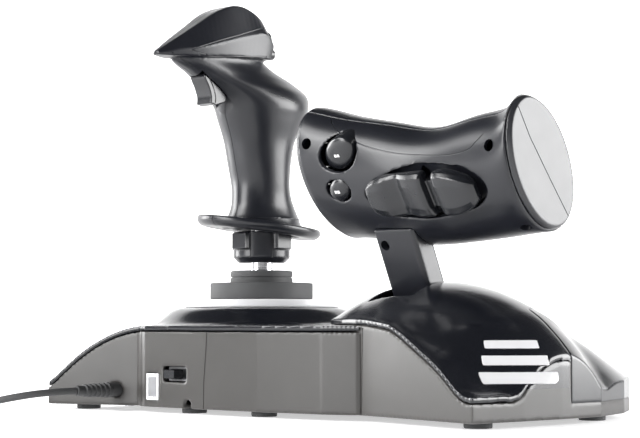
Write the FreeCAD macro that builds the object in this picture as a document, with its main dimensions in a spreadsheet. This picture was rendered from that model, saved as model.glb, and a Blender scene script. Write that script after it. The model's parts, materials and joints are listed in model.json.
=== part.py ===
"""Flight joystick with an attached throttle unit, modelled in millimetres.

X points to the user's right, Y away from the user and Z up. The origin is on the table,
under the middle of the whole base. The stick stands on the right, the throttle on the left.
"""
import FreeCAD, Part
import math
import os
import re

DOC = FreeCAD.newDocument("flight_joystick")
Vec = FreeCAD.Vector
UP = Vec(0, 0, 1)

# ---------------------------------------------------------------- driving dimensions
DIMENSIONS = [
    ("base_half_length", 160.0), ("base_front", -88.0),
    ("foot_height", 3.0), ("wall_thickness", 2.6), ("floor_thickness", 2.6),
    ("shoulder_height", 49.0), ("cover_thickness", 2.4), ("seam_gap", 0.4),
    ("stick_x", 66.0), ("stick_y", 4.0), ("gimbal_height", 42.0),
    ("plate_bottom", 59.0), ("plate_top", 63.8), ("plate_radius", 45.5),
    ("plate_bore", 29.0),
    ("boot_bottom", 64.1), ("boot_top", 73.8), ("boot_radius", 30.2), ("boot_bore", 28.4),
    ("cap_top", 80.8), ("cap_radius", 18.2), ("shaft_radius", 6.75),
    ("collar_bottom", 85.5), ("collar_top", 103.6), ("collar_radius", 16.6),
    ("rest_bottom", 104.0), ("shell_wall", 2.4),
    ("dome_x", -79.6), ("dome_y", 18.0), ("dome_top", 72.0), ("dome_sphere", 85.0),
    ("dome_rim", 55.5), ("dome_half_x", 63.2), ("dome_half_y", 45.0),
    ("pivot_y", 2.5), ("pivot_z", 24.0), ("arm_x", -69.5), ("arm_width", 27.0),
    ("arm_depth", 14.0), ("arm_lean", 24.6), ("arm_length", 85.0),
    ("shield_radius", 36.0), ("slot_front", 46.0), ("slot_back", -14.0),
    ("grip_left", -156.5), ("grip_right", -18.5),
    ("screw_radius", 1.5), ("screw_head", 2.8), ("pin_radius", 1.5),
    ("shaft_gap", 0.05),
    ("cord_diameter", 4.0), ("coil_diameter", 46.0), ("cord_length", 1800.0),
    ("relief_height", 12.0),
]
SHEET = DOC.addObject("Spreadsheet::Sheet", "dims")
VALUES = {}
for row, (alias, value) in enumerate(DIMENSIONS, start=1):
    SHEET.set("A%d" % row, alias)
    SHEET.set("B%d" % row, str(value))
    SHEET.setAlias("B%d" % row, alias)
    VALUES[alias] = value
DOC.recompute()
ALIAS = re.compile(r"\b(" + "|".join(VALUES) + r")\b")


def dim(alias):
    """One driving dimension, read back from the sheet."""
    return float(SHEET.get(alias))


def bound(text):
    """An expression in the sheet's terms, such as 'stick_x - 5'."""
    return ALIAS.sub(r"dims.\1", str(text))


# ---------------------------------------------------------------- document helpers
NODES = {}
TURNS = {
    "z": FreeCAD.Rotation(),
    "x": FreeCAD.Rotation(Vec(0, 1, 0), 90),
    "y": FreeCAD.Rotation(Vec(1, 0, 0), -90),
}


def bind(obj, sizes, place):
    for prop, text in sizes.items():
        obj.setExpression(prop, bound(text))
    for axis, text in zip("xyz", place):
        obj.setExpression("Placement.Base." + axis, bound(text))
    return obj


def box(name, size, corner):
    """A Part::Box: three sizes and its lowest corner, all as expressions."""
    obj = DOC.addObject("Part::Box", name)
    return bind(obj, dict(zip(("Length", "Width", "Height"), size)), corner)


def rod(name, radius, length, start, along="z"):
    """A Part::Cylinder that starts at a point and runs along +X, +Y or +Z."""
    obj = DOC.addObject("Part::Cylinder", name)
    obj.Placement = FreeCAD.Placement(Vec(), TURNS[along])
    return bind(obj, {"Radius": radius, "Height": length}, start)


def cone(name, low, high, length, start, along="z"):
    obj = DOC.addObject("Part::Cone", name)
    obj.Placement = FreeCAD.Placement(Vec(), TURNS[along])
    return bind(obj, {"Radius1": low, "Radius2": high, "Height": length}, start)


def cut(name, base, *tools):
    """Base minus one tool after another, as Part::Cut objects."""
    for number, tool in enumerate(tools):
        obj = DOC.addObject("Part::Cut", "%s_cut%d" % (name, number))
        obj.Base = base
        obj.Tool = tool
        base = obj
    return base


def fuse(name, *shapes):
    obj = DOC.addObject("Part::MultiFuse", name + "_fuse")
    obj.Shapes = list(shapes)
    return obj


def coded(name, shape):
    """A Part::Feature for a shape made with Part's own functions."""
    obj = DOC.addObject("Part::Feature", name)
    place = shape.Placement
    obj.Shape = shape
    obj.Placement = place
    return obj


def node(label, obj):
    """Name an object as a sub-part to be exported."""
    obj.Label = label
    NODES[label] = obj
    return obj


def joined(shapes):
    solid = shapes[0]
    for other in shapes[1:]:
        solid = solid.fuse(other)
    return solid.removeSplitter()


def group(shapes):
    return Part.makeCompound(shapes)


# ---------------------------------------------------------------- curve helpers
def closed_curve(points):
    """A smooth closed wire through points."""
    spline = Part.BSplineCurve()
    spline.interpolate([Vec(*point) for point in points], PeriodicFlag=True)
    return Part.Wire([spline.toShape()])


def polygon(points):
    corners = [Vec(*point) for point in points]
    return Part.makePolygon(corners + corners[:1])


def loft(wires, ruled=False):
    return Part.makeLoft(wires, True, ruled)


def prism(outline, low, high):
    """A vertical prism on a closed plan outline of (x, y) points."""
    face = Part.Face(polygon([(x, y, low) for x, y in outline]))
    return face.extrude(Vec(0, 0, high - low))


def disc_ring(center, inner, outer, low, high):
    at = Vec(center[0], center[1], low)
    ring = Part.makeCylinder(outer, high - low, at)
    return ring.cut(Part.makeCylinder(inner, high - low, at)) if inner else ring


def inset(outline, distance):
    """The outline moved inwards; its corners stay sharp."""
    wire = polygon([(x, y, 0) for x, y in outline])
    moved = wire.makeOffset2D(-distance, 2)
    return [(v.X, v.Y) for v in moved.OrderedVertexes]


def under_surface(height, box_xy, step, depth=200.0):
    """The solid below the surface z = height(x, y) over a rectangle."""
    (left, front), (right, rear) = box_xy
    columns = int(round((right - left) / step)) + 1
    rows = int(round((rear - front) / step)) + 1
    grid = []
    for i in range(columns):
        x = left + (right - left) * i / (columns - 1)
        ys = [front + (rear - front) * j / (rows - 1) for j in range(rows)]
        grid.append([Vec(x, y, height(x, y)) for y in ys])
    surface = Part.BSplineSurface()
    surface.interpolate(grid)
    return surface.toShape().extrude(Vec(0, 0, -depth))


def smooth_step(low, high, value):
    ratio = min(max((value - low) / (high - low), 0.0), 1.0)
    return ratio * ratio * (3.0 - 2.0 * ratio)


# ---------------------------------------------------------------- plan outlines and covers
STICK = (dim("stick_x"), dim("stick_y"))
DOME = (dim("dome_x"), dim("dome_y"))
HALF = dim("base_half_length")
FRONT = dim("base_front")
SHOULDER = dim("shoulder_height")
FLOOR = dim("foot_height")
WALL = dim("wall_thickness")
SEAM = dim("seam_gap")
VALLEY = (-65.0, 63.0)
DIVIDE_X = -34.0


def divide(offset):
    """The curve between the two base units: round the dome, then straight to the front."""
    half_x = dim("dome_half_x") + 2.0 + offset
    half_y = dim("dome_half_y") + 1.2 + offset
    points = []
    for degrees in range(72, -46, -13):
        turn = math.radians(degrees)
        points.append((DOME[0] + half_x * math.cos(turn), DOME[1] + half_y * math.sin(turn)))
    points.append((DIVIDE_X + offset, FRONT))
    return points


def stick_outline():
    rear = [(HALF, 87.0), (102.0, 67.0), (98.0, 71.0), (90.0, 74.0), (40.0, 75.0),
            (0.0, 74.0), (-43.0, 70.0), (VALLEY[0] + SEAM, VALLEY[1])]
    front = [(60.0, FRONT), (118.0, -84.0), (143.0, -62.0), (158.0, -20.0), (HALF, 30.0)]
    return rear + divide(SEAM / 2) + front


def throttle_outline():
    seam = list(reversed(divide(-SEAM / 2)))
    left = [(-154.0, 86.0), (-158.0, 51.0), (-HALF, 22.0), (-HALF, -12.0), (-150.0, -48.0),
            (-137.0, -73.0), (-116.0, -85.0)]
    return seam + [(VALLEY[0] - SEAM, VALLEY[1])] + left + [(-90.0, FRONT)]


def soft_floor(height, lowest):
    """The height, eased so that it never falls under the lowest."""
    blend = 3.0
    return lowest + blend * math.log(1.0 + math.exp(min((height - lowest) / blend, 60.0)))


def stick_height(x, y):
    """Top of the stick unit: a shoulder, a rise under the plate and slopes at the sides."""
    reach = math.hypot(x - STICK[0], y - STICK[1])
    rise = (dim("plate_bottom") - SHOULDER) * (1.0 - smooth_step(48.0, 66.0, reach))
    side = 34.8 * (max(x - 96.0, 0.0) / 64.0) ** 2
    palm = 26.0 * smooth_step(-34.0, -92.0, y)
    return soft_floor(SHOULDER + rise - side - palm, 14.0)


def dome_surface(x, y):
    reach = math.hypot((x - DOME[0]) / dim("dome_half_x"), (y - DOME[1]) / dim("dome_half_y"))
    flat = min(dim("dome_rim") * reach, dim("dome_sphere") - 1.0)
    sphere = dim("dome_sphere")
    return dim("dome_top") - sphere + math.sqrt(sphere * sphere - flat * flat)


def skirt_surface(x, y):
    """The slopes round the dome, falling to the left, the rear left corner and the front."""
    reach = math.hypot((x - DOME[0]) * 0.92, y - DOME[1])
    left = min(max(DOME[0] - x, 0.0) / max(reach, 1.0), 1.0)
    fall = 1.6 * left ** 3 * max(reach - 56.0, 0.0)
    rear = 0.35 * max(y - DOME[1] - 26.0, 0.0) * smooth_step(0.1, 0.6, left)
    front = 22.0 * smooth_step(-30.0, -95.0, y)
    return soft_floor(49.5 - fall - rear - front, 15.5)


def throttle_height(x, y):
    dome = dome_surface(x, y)
    skirt = skirt_surface(x, y)
    blend = 3.0
    gap = (dome - skirt) / blend
    if gap > 8.0:
        return dome
    return skirt + blend * math.log(1.0 + math.exp(gap))


STICK_AREA = ((-70.0, -92.0), (165.0, 92.0))
THROTTLE_AREA = ((-165.0, -92.0), (0.0, 92.0))
COVER = dim("cover_thickness")


def lowered(height, drop):
    return lambda x, y: height(x, y) - drop


def base_shells(outline, height, area, lip):
    """A tray and the cover over it, split just under the cover's top surface."""
    step = 5.875 if area is STICK_AREA else 5.5
    inner = inset(outline, WALL)
    full = prism(outline, FLOOR, 120.0)
    core = prism(inner, FLOOR + dim("floor_thickness"), 120.0)
    top = under_surface(height, area, step)
    split = under_surface(lowered(height, lip), area, step)
    under = under_surface(lowered(height, lip + SEAM), area, step)
    tray = full.common(under).cut(core)
    ceiling = under_surface(lowered(height, COVER), area, step)
    hollow = prism(inset(outline, 2 * WALL + SEAM), FLOOR, 120.0).common(ceiling)
    cover = full.common(top).cut(split.common(full).cut(
        prism(inset(outline, WALL + SEAM), FLOOR, 120.0)))
    skirt_floor = under_surface(lowered(height, lip + 5.0), area, step)
    cover = cover.cut(skirt_floor).cut(hollow)
    return tray, cover


STICK_SCREWS = [(130.0, 50.0), (126.0, -52.0), (20.0, -66.0), (14.0, 50.0)]
THROTTLE_SCREWS = [(-130.0, 50.0), (-110.0, -60.0)]


def screw_bores(spots):
    return group([Part.makeCylinder(dim("screw_radius"), 9.0, Vec(x, y, 0)) for x, y in spots])


def make_base():
    """Trays, covers and what is fastened to them."""
    tray, cover = base_shells(stick_outline(), stick_height, STICK_AREA, 3.0)
    opening = disc_ring(STICK, 0, dim("plate_bore"), 30.0, 90.0)
    rear = 80.0
    switch_hole = Part.makeBox(19.0, 12.0, 8.6, Vec(54.8, rear - 12.0, 17.6))
    socket_hole = Part.makeBox(10.4, 12.0, 15.4, Vec(77.2, rear - 12.0, 6.8))
    notch = Part.makeCylinder(3.2, 12.0, Vec(53.6, rear - 12.0, 4.6), Vec(0, 1, 0))
    relief_bore = Part.makeCylinder(4.0, 14.0, Vec(117.0, 64.0, dim("relief_height")), Vec(0, 1, 0))
    wheel_hole = Part.makeCylinder(18.6, 10.0, Vec(STICK[0], STICK[1], 0))
    tray = tray.cut(group([switch_hole, socket_hole, notch, wheel_hole])).cut(relief_bore)
    tray = tray.cut(screw_bores(STICK_SCREWS))
    posts = [Part.makeCylinder(2.4, 5.0, Vec(STICK[0] + x, STICK[1] + y, FLOOR + 2.0))
             for x in (-78.0, -34.0) for y in (-58.0, -32.0)]
    tray = joined([tray] + posts)
    node("stick_base_tray", coded("stick_base_tray", tray))
    node("stick_base_cover", coded("stick_base_cover", cover.cut(opening)))

    tray, cover = base_shells(throttle_outline(), throttle_height, THROTTLE_AREA, 3.0)
    slot = Part.makeBox(dim("arm_width") + 2.4, dim("slot_front") - dim("slot_back"), 60.0,
                        Vec(dim("arm_x") - dim("arm_width") / 2 - 1.2, dim("slot_back"), 46.0))
    panel_area = prism([(-170.0, 14.0), (-134.0, 14.0), (-126.0, -4.0), (-118.0, -40.0),
                        (-112.0, -95.0), (-170.0, -95.0)], 0.0, 100.0)
    skin = under_surface(throttle_height, THROTTLE_AREA, 5.5)
    below = under_surface(lowered(throttle_height, 1.6), THROTTLE_AREA, 5.5)
    outline = prism(throttle_outline(), 10.5, 100.0)
    band = prism(throttle_outline(), 10.5, 100.0).cut(prism(inset(throttle_outline(), 1.2), 0, 100.0))
    panel = joined([outline.common(skin).cut(below), band.common(skin)]).common(panel_area)
    tray = tray.cut(panel).cut(screw_bores(THROTTLE_SCREWS))
    node("throttle_base_tray", coded("throttle_base_tray", tray))
    bars = make_slope_bars(skin, below)
    cover = cover.cut(slot).cut(panel).cut(bars)
    node("throttle_base_cover", coded("throttle_base_cover", cover))
    node("corner_panel", coded("corner_panel", panel))
    node("slope_bars", coded("slope_bars", bars))


# Each bar: its lower and upper height, and the rear and front ends of its upper edge.
BAR_ROWS = [(20.9, 26.7, 64.1, 30.4), (29.7, 34.5, 58.4, 30.9), (37.8, 41.9, 53.2, 30.6)]
BAR_SLANT = 2.0


def make_slope_bars(skin, below):
    """Three bright bars let into the left slope, each a slice of the cover's own surface."""
    layer = skin.cut(below)
    bars = []
    for low, high, rear, front in BAR_ROWS:
        side = polygon([(-170.0, rear, high), (-170.0, front, high),
                        (-170.0, front + BAR_SLANT, low), (-170.0, rear + BAR_SLANT, low)])
        piece = layer.common(Part.Face(side).extrude(Vec(90.0, 0, 0)))
        bars.append(max(piece.Solids, key=lambda solid: solid.Volume))
    return group(bars)


FOOT_SPOTS = [("0", "0"), ("148", "66"), ("63", "60"), ("8", "60"), ("-142", "66"),
              ("140", "-46"), ("60", "-74"), ("-100", "-74"), ("-142", "-30")]


def make_base_fittings():
    plate_hole = rod("plate_hole", "plate_bore", "20", ("stick_x", "stick_y", "plate_bottom - 5"))
    plate = rod("plate_disc", "plate_radius", "plate_top - plate_bottom - 0.3",
                ("stick_x", "stick_y", "plate_bottom + 0.3"))
    node("bezel_plate", cut("bezel_plate", plate, plate_hole))
    boot = rod("boot_disc", "boot_radius", "boot_top - boot_bottom",
               ("stick_x", "stick_y", "boot_bottom"))
    boot_hole = rod("boot_hole", "boot_bore", "20", ("stick_x", "stick_y", "boot_bottom - 5"))
    node("boot_ring", cut("boot_ring", boot, boot_hole))
    make_gimbal_frame()
    node("main_board", box("main_board", ("52", "34", "1.6"),
                           ("stick_x - 82", "stick_y - 62", "foot_height + 7")))
    socket = box("socket_body", ("10", "14", "15"), ("77.4", "60.5", "7"))
    opening = box("socket_mouth", ("7", "12", "11"), ("78.9", "64", "9"))
    node("pedal_socket", cut("pedal_socket", socket, opening))
    housing = box("switch_body", ("18.6", "8", "8.2"), ("55", "62", "17.8"))
    channel = box("switch_channel", ("16", "6", "5.6"), ("56.3", "65", "19.1"))
    node("selector_body", cut("selector_body", housing, channel))
    node("ballast_plate", box("ballast_plate", ("58", "24", "5"),
                              ("stick_x - 16", "-76", "foot_height + floor_thickness")))
    feet = [rod("foot%d" % i, "7", "foot_height", (x, y, "0"))
            for i, (x, y) in enumerate(FOOT_SPOTS)]
    node("rubber_feet", fuse("rubber_feet", *feet))


def make_gimbal_frame():
    """A square frame on four posts that carries the pitch pins."""
    outer = box("frame_outer", ("60", "60", "12"),
                ("stick_x - 30", "stick_y - 30", "gimbal_height - 6"))
    inner = box("frame_inner", ("46", "46", "16"),
                ("stick_x - 23", "stick_y - 23", "gimbal_height - 8"))
    posts = [box("frame_post%d%d" % (i, j), ("7", "7", "gimbal_height - 5 - foot_height - "
                                             "floor_thickness"),
                 ("stick_x - 30 + %d" % (53 * i), "stick_y - 30 + %d" % (53 * j),
                  "foot_height + floor_thickness"))
             for i in (0, 1) for j in (0, 1)]
    ring = cut("frame_ring", outer, inner)
    bore = rod("frame_bore", "2 + shaft_gap", "59", ("stick_x - 29.5", "stick_y", "gimbal_height"), "x")
    whole = fuse("frame_whole", ring, *posts)
    node("gimbal_frame", cut("gimbal_frame", whole, bore))
    node("pitch_sensor", box("pitch_sensor", ("9", "16", "16"),
                             ("stick_x + 30", "stick_y - 8", "gimbal_height - 8")))


def make_gimbal():
    outer = box("cradle_outer", ("38", "38", "12"),
                ("stick_x - 19", "stick_y - 19", "gimbal_height - 6"))
    inner = box("cradle_inner", ("26", "26", "16"),
                ("stick_x - 13", "stick_y - 13", "gimbal_height - 8"))
    ring = cut("cradle_ring", outer, inner)
    pitch_hole = rod("cradle_bore_x", "2", "38", ("stick_x - 19", "stick_y", "gimbal_height"), "x")
    roll_hole = rod("cradle_bore_y", "2", "38", ("stick_x", "stick_y - 19", "gimbal_height"), "y")
    node("gimbal_cradle", cut("gimbal_cradle", ring, pitch_hole, roll_hole))
    pins = [rod("pitch_pin_left", "2", "13", ("stick_x - 28.5", "stick_y", "gimbal_height"), "x"),
            rod("pitch_pin_right", "2", "13", ("stick_x + 15.5", "stick_y", "gimbal_height"), "x")]
    node("pitch_pins", fuse("pitch_pins", *pins))
    pins = [rod("roll_pin_front", "2", "11.3", ("stick_x", "stick_y - 18.5", "gimbal_height"), "y"),
            rod("roll_pin_rear", "2", "11.3", ("stick_x", "stick_y + 7.2", "gimbal_height"), "y")]
    node("roll_pins", fuse("roll_pins", *pins))
    sleeves = []
    for number, start in enumerate(("stick_x - 22.6", "stick_x + 19.4")):
        sleeve = rod("pitch_coil%d" % number, "4.4", "3.2", (start, "stick_y", "gimbal_height"), "x")
        hole = rod("pitch_coil_hole%d" % number, "2.2", "3.2",
                   (start, "stick_y", "gimbal_height"), "x")
        sleeves.append(cut("pitch_sleeve%d" % number, sleeve, hole))
    node("pitch_springs", fuse("pitch_springs", *sleeves))
    sleeves = []
    for number, start in enumerate(("stick_y - 12.7", "stick_y + 9.5")):
        sleeve = rod("roll_coil%d" % number, "4.4", "3.2", ("stick_x", start, "gimbal_height"), "y")
        hole = rod("roll_coil_hole%d" % number, "2.2", "3.2",
                   ("stick_x", start, "gimbal_height"), "y")
        sleeves.append(cut("roll_sleeve%d" % number, sleeve, hole))
    node("roll_springs", fuse("roll_springs", *sleeves))


def make_stick_lower():
    """The yoke, shaft, dust cap and collar: all that tilts but doesn't twist."""
    block = box("yoke_block", ("18", "18", "16"), ("stick_x - 9", "stick_y - 9", "gimbal_height - 8"))
    shaft_hole = rod("yoke_hole", "shaft_radius", "20", ("stick_x", "stick_y", "gimbal_height - 10"))
    pin_hole = rod("yoke_pin_hole", "2 + shaft_gap", "20",
                   ("stick_x", "stick_y - 10", "gimbal_height"), "y")
    node("gimbal_yoke", cut("gimbal_yoke", block, shaft_hole, pin_hole))
    node("stick_shaft", rod("stick_shaft", "shaft_radius", "126 - gimbal_height",
                            ("stick_x", "stick_y", "gimbal_height - 8")))
    center = Vec(STICK[0], STICK[1], dim("gimbal_height"))
    ball = Part.makeSphere(26.8, center).cut(Part.makeSphere(25.0, center))
    keep = disc_ring(STICK, 0, 30.0, dim("gimbal_height") + 14.0, 90.0)
    step = Part.makeCylinder(dim("cap_radius"), dim("cap_top") - 66.0, Vec(STICK[0], STICK[1], 66.0))
    cap = joined([ball.common(keep), step]).cut(disc_ring(STICK, 0, dim("shaft_radius"), 30.0, 90.0))
    node("dust_cap", coded("dust_cap", cap))
    collar = rod("collar_body", "collar_radius", "collar_top - collar_bottom - 3",
                 ("stick_x", "stick_y", "collar_bottom + 3"))
    lower = cone("collar_foot", "collar_radius - 3", "collar_radius", "3",
                 ("stick_x", "stick_y", "collar_bottom"))
    lugs = [box("collar_lug%d" % i, ("11", "5", "9"), ("stick_x - 5.5", place, "collar_bottom + 8"))
            for i, place in enumerate(("stick_y + 14", "stick_y - 19"))]
    side_lugs = [box("collar_side_lug%d" % i, ("5", "11", "9"),
                     (place, "stick_y - 5.5", "collar_bottom + 8"))
                 for i, place in enumerate(("stick_x + 14", "stick_x - 19"))]
    hole = rod("collar_hole", "shaft_radius", "30", ("stick_x", "stick_y", "collar_bottom - 5"))
    whole = fuse("collar_whole", collar, lower, *(lugs + side_lugs))
    node("lock_collar", cut("lock_collar", whole, hole))


# ---------------------------------------------------------------- handle
GRIP_SECTIONS = [
    (112.0, 3.0, 19.0, 23.0), (118.0, 3.2, 16.8, 20.6), (124.0, 4.2, 16.0, 18.9),
    (132.0, 5.2, 16.6, 18.0), (144.0, 6.2, 17.6, 19.8), (157.0, 6.2, 19.0, 22.9),
    (169.0, 5.0, 22.0, 28.6), (177.0, 4.8, 23.4, 32.3), (185.0, 9.4, 20.5, 38.4),
    (192.0, 20.8, 14.8, 41.0), (199.0, 36.0, 10.8, 39.4), (206.0, 38.5, 10.0, 29.0),
]
HEAD_SECTIONS = [
    (88.0, 2.6, 1.4, 201.6, 200.8, 199.4), (78.0, 7.5, 3.6, 208.4, 203.2, 199.4),
    (62.0, 12.0, 5.6, 219.0, 205.6, 200.4), (46.0, 14.0, 7.2, 229.2, 210.0, 202.0),
    (30.0, 14.4, 7.8, 233.6, 214.6, 203.0), (13.0, 13.2, 7.4, 228.4, 218.4, 204.0),
    (5.0, 11.4, 6.6, 216.6, 212.4, 204.4),
]


def ellipse_wire(z, center_y, half_x, half_y):
    """A level ellipse about the stick's axis."""
    count = 12
    turns = [2 * math.pi * i / count for i in range(count)]
    return closed_curve([(STICK[0] + half_x * math.cos(a), center_y + half_y * math.sin(a), z)
                         for a in turns])


def grip_solid(thin):
    return loft([ellipse_wire(z, y, a - thin, b - thin) for z, y, a, b in GRIP_SECTIONS])


def head_solid(thin):
    wires = []
    for y, half, top, high, edge, low in HEAD_SECTIONS:
        half = max(half - thin, 0.8)
        top = max(top - thin, 0.5)
        inner = thin if high - low > 3 * thin else 0.3 * (high - low)
        points = [(top, high - inner), (half, edge), (0.9 * half, low + inner)]
        ring = points + [(-x, z) for x, z in reversed(points)]
        wires.append(polygon([(STICK[0] + x, y, z) for x, z in ring]))
    return loft(wires, ruled=True)


HAT = Vec(dim("stick_x"), 11.5, 217.2)
HEAD_BACK = 5.0
HEAD_BUTTON_RADIUS = 3.1
BUTTON_GAP = 0.4
HEAD_BUTTONS = {
    "head_button_left": (-7.8, 207.8),
    "head_button_right": (7.8, 207.8),
    "head_button_lower": (0.0, 207.2),
}
TRIGGER_PIVOT = Vec(dim("stick_x"), 47.0, 190.0)


def make_handle():
    thin = dim("shell_wall")
    outer = grip_solid(0.0).fuse(head_solid(0.0))
    head_room = Part.makeBox(60.0, 76.0, 80.0, Vec(STICK[0] - 30.0, HEAD_BACK + thin, 170.0))
    grip_room = Part.makeBox(90.0, 150.0, 91.5, Vec(STICK[0] - 45.0, -60.0, 115.0))
    cavity = grip_solid(thin).common(grip_room).fuse(head_solid(thin).common(head_room))
    shell = outer.cut(cavity)
    bore = disc_ring(STICK, 0, dim("shaft_radius") + dim("shaft_gap"), 100.0, 130.0)
    trigger_slot = Part.makeBox(14.0, 26.0, 30.0, Vec(STICK[0] - 7.0, 34.0, 165.0))
    nose = Part.makeBox(14.0, 19.0, 12.0, Vec(STICK[0] - 7.0, 40.0, 178.0))
    hat_hole = Part.makeCylinder(7.1, 30.0, HAT, Vec(0, -1, 0))
    holes = [bore, trigger_slot.fuse(nose), hat_hole]
    for offset, height in HEAD_BUTTONS.values():
        start = Vec(STICK[0] + offset, HEAD_BACK + 11.0, height)
        holes.append(Part.makeCylinder(HEAD_BUTTON_RADIUS + BUTTON_GAP, 50.0, start, Vec(0, -1, 0)))
    pin_hole = Part.makeCylinder(dim("pin_radius"), 22.0, TRIGGER_PIVOT - Vec(11.0, 0, 0),
                                 Vec(1, 0, 0))
    for hole in holes + [pin_hole]:
        shell = shell.cut(hole)
    big = 200.0
    left = Part.makeBox(big, big, 2 * big, Vec(STICK[0] - big, -big / 2, 0))
    right = Part.makeBox(big, big, 2 * big, Vec(STICK[0], -big / 2, 0))
    for label, side in (("handle_shell_left", left), ("handle_shell_right", right)):
        half = shell.common(side)
        node(label, coded(label, max(half.Solids, key=lambda solid: solid.Volume)))
    pin = rod("trigger_pin", "pin_radius", "19", ("stick_x - 9.5", "47", "190"), "x")
    node("trigger_pin", pin)
    make_hand_rest()
    make_trigger()


REST_RINGS = [
    (29.0, 32.0, 103.4), (34.4, 37.4, 105.2), (35.0, 38.0, 107.2), (34.2, 37.2, 109.0),
]
REST_MIDDLE = Vec(dim("stick_x"), 6.2, 107.0)
REST_AXIS = Vec(0.68, -0.73, 0.0)
REST_TIP = 7.2
NECK_RINGS = [(22.5, 26.0, 104.5), (20.2, 24.2, 108.5), (19.0, 23.0, 112.0)]


def oval_rings(rings, center_y):
    """A loft through level ovals about the stick: half width, half depth and height."""
    wires = []
    for half_x, half_y, height in rings:
        wires.append(closed_curve([(STICK[0] + half_x * math.cos(a),
                                    center_y + half_y * math.sin(a), height)
                                   for a in [math.pi * i / 6 for i in range(12)]]))
    return loft(wires)


def make_hand_rest():
    """The flange under the hand, tipped down at the user's left, with a neck that meets the grip."""
    plate = oval_rings(REST_RINGS, REST_MIDDLE.y)
    plate.rotate(REST_MIDDLE, REST_AXIS, REST_TIP)
    room = disc_ring(STICK, 0, 22.0, 90.0, dim("rest_bottom") + 0.3)
    neck = oval_rings(NECK_RINGS, 3.0)
    bore = disc_ring(STICK, 0, dim("shaft_radius") + dim("shaft_gap"), 90.0, 130.0)
    node("hand_rest", coded("hand_rest", plate.cut(room).fuse(neck).cut(bore)))


def make_trigger():
    profile = [(39.0, 192.0), (53.6, 193.4), (56.6, 191.0), (52.2, 184.0), (50.6, 176.0),
               (47.0, 174.4), (39.6, 176.4), (36.6, 184.0)]
    face = Part.Face(polygon([(STICK[0] - 6.2, y, z) for y, z in profile]))
    body = face.extrude(Vec(12.4, 0, 0))
    hole = Part.makeCylinder(dim("pin_radius") + dim("shaft_gap"), 30.0,
                             TRIGGER_PIVOT - Vec(15.0, 0, 0), Vec(1, 0, 0))
    node("trigger", coded("trigger", body.cut(hole)))
    node("trigger_switch", box("trigger_switch", ("10", "6", "7"), ("stick_x - 5", "22", "184")))
    node("trigger_spring", rod("trigger_spring", "2", "6", ("stick_x", "29.4", "187"), "y"))


def make_hat():
    pivot = Part.makeSphere(2.6, HAT)
    arms = [Part.makeCylinder(1.2, 6.4, HAT - Vec(3.2, 0, 0), Vec(1, 0, 0)),
            Part.makeCylinder(1.2, 6.4, HAT - Vec(0, 0, 3.2), UP)]
    node("hat_pivot", coded("hat_pivot", joined([pivot] + arms)))
    cap = Part.makeCylinder(5.8, 3.6, HAT - Vec(0, 6.5, 0), Vec(0, -1, 0))
    neck = Part.makeCylinder(2.6, 3.9, HAT - Vec(0, 2.8, 0), Vec(0, -1, 0))
    node("hat_cap", coded("hat_cap", cap.fuse(neck)))
    for label, (offset, height) in HEAD_BUTTONS.items():
        start = Vec(STICK[0] + offset, HEAD_BACK + 8.0, height)
        button = Part.makeCylinder(HEAD_BUTTON_RADIUS, 9.5, start, Vec(0, -1, 0))
        node(label, coded(label, button))


# ---------------------------------------------------------------- throttle
PIVOT = Vec(dim("arm_x"), dim("pivot_y"), dim("pivot_z"))
LEAN = math.radians(dim("arm_lean"))
THROTTLE_SECTIONS = [
    (-153.5, 31.2, 129.0, 36.4, 24.5, 31.0), (-146.5, 31.6, 126.2, 33.6, 24.8, 31.0),
    (-130.5, 31.2, 124.2, 33.1, 24.2, 31.5), (-110.5, 31.5, 121.7, 32.0, 23.8, 32.0),
    (-88.5, 32.2, 121.0, 32.6, 23.8, 33.0), (-66.5, 32.8, 124.0, 34.8, 24.6, 35.0),
    (-46.5, 32.4, 127.4, 36.2, 25.2, 37.5), (-30.5, 32.0, 130.4, 38.6, 26.0, 40.0),
    (-21.5, 31.8, 131.4, 40.4, 25.8, 41.0),
]
FACE_LEAN = math.radians(33.0)
FACE_NORMAL = Vec(0, math.cos(FACE_LEAN), -math.sin(FACE_LEAN))
FACE_TURN = FreeCAD.Rotation(Vec(1, 0, 0), -123.0)


def leaning_ellipse(x, y, z, half_long, half_short, lean, thin=0.0):
    """An ellipse across the throttle grip, its long axis leaning away from the user."""
    count = 12
    tilt = math.radians(lean)
    points = []
    for i in range(count):
        turn = 2 * math.pi * i / count
        along = (half_long - thin) * math.cos(turn)
        across = (half_short - thin) * math.sin(turn)
        points.append((x, y + along * math.sin(tilt) + across * math.cos(tilt),
                       z + along * math.cos(tilt) - across * math.sin(tilt)))
    return closed_curve(points)


def throttle_solid(thin):
    wires = [leaning_ellipse(*section, thin=thin) for section in THROTTLE_SECTIONS]
    return loft(wires)


def at_pivot(angle, radius):
    """A point in the pivot's own plane, the angle counted from straight up towards +Y."""
    return (PIVOT.y + radius * math.sin(angle), PIVOT.z + radius * math.cos(angle))


def make_arm():
    width = dim("arm_width")
    depth = dim("arm_depth")
    bar = Part.makeBox(width, depth, dim("arm_length"), Vec(-width / 2, -depth / 2, 0))
    hub = Part.makeCylinder(10.5, width, Vec(-width / 2, 0, 0), Vec(1, 0, 0))
    bore = Part.makeCylinder(4.0 + dim("shaft_gap"), width + 2, Vec(-width / 2 - 1, 0, 0), Vec(1, 0, 0))
    edges = [edge for edge in bar.Edges if edge.Length > dim("arm_length") - 1]
    arm = bar.makeFillet(2.2, edges).fuse(hub).cut(bore)
    arm.Placement = FreeCAD.Placement(PIVOT, FreeCAD.Rotation(Vec(1, 0, 0), -dim("arm_lean")))
    return arm


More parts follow.
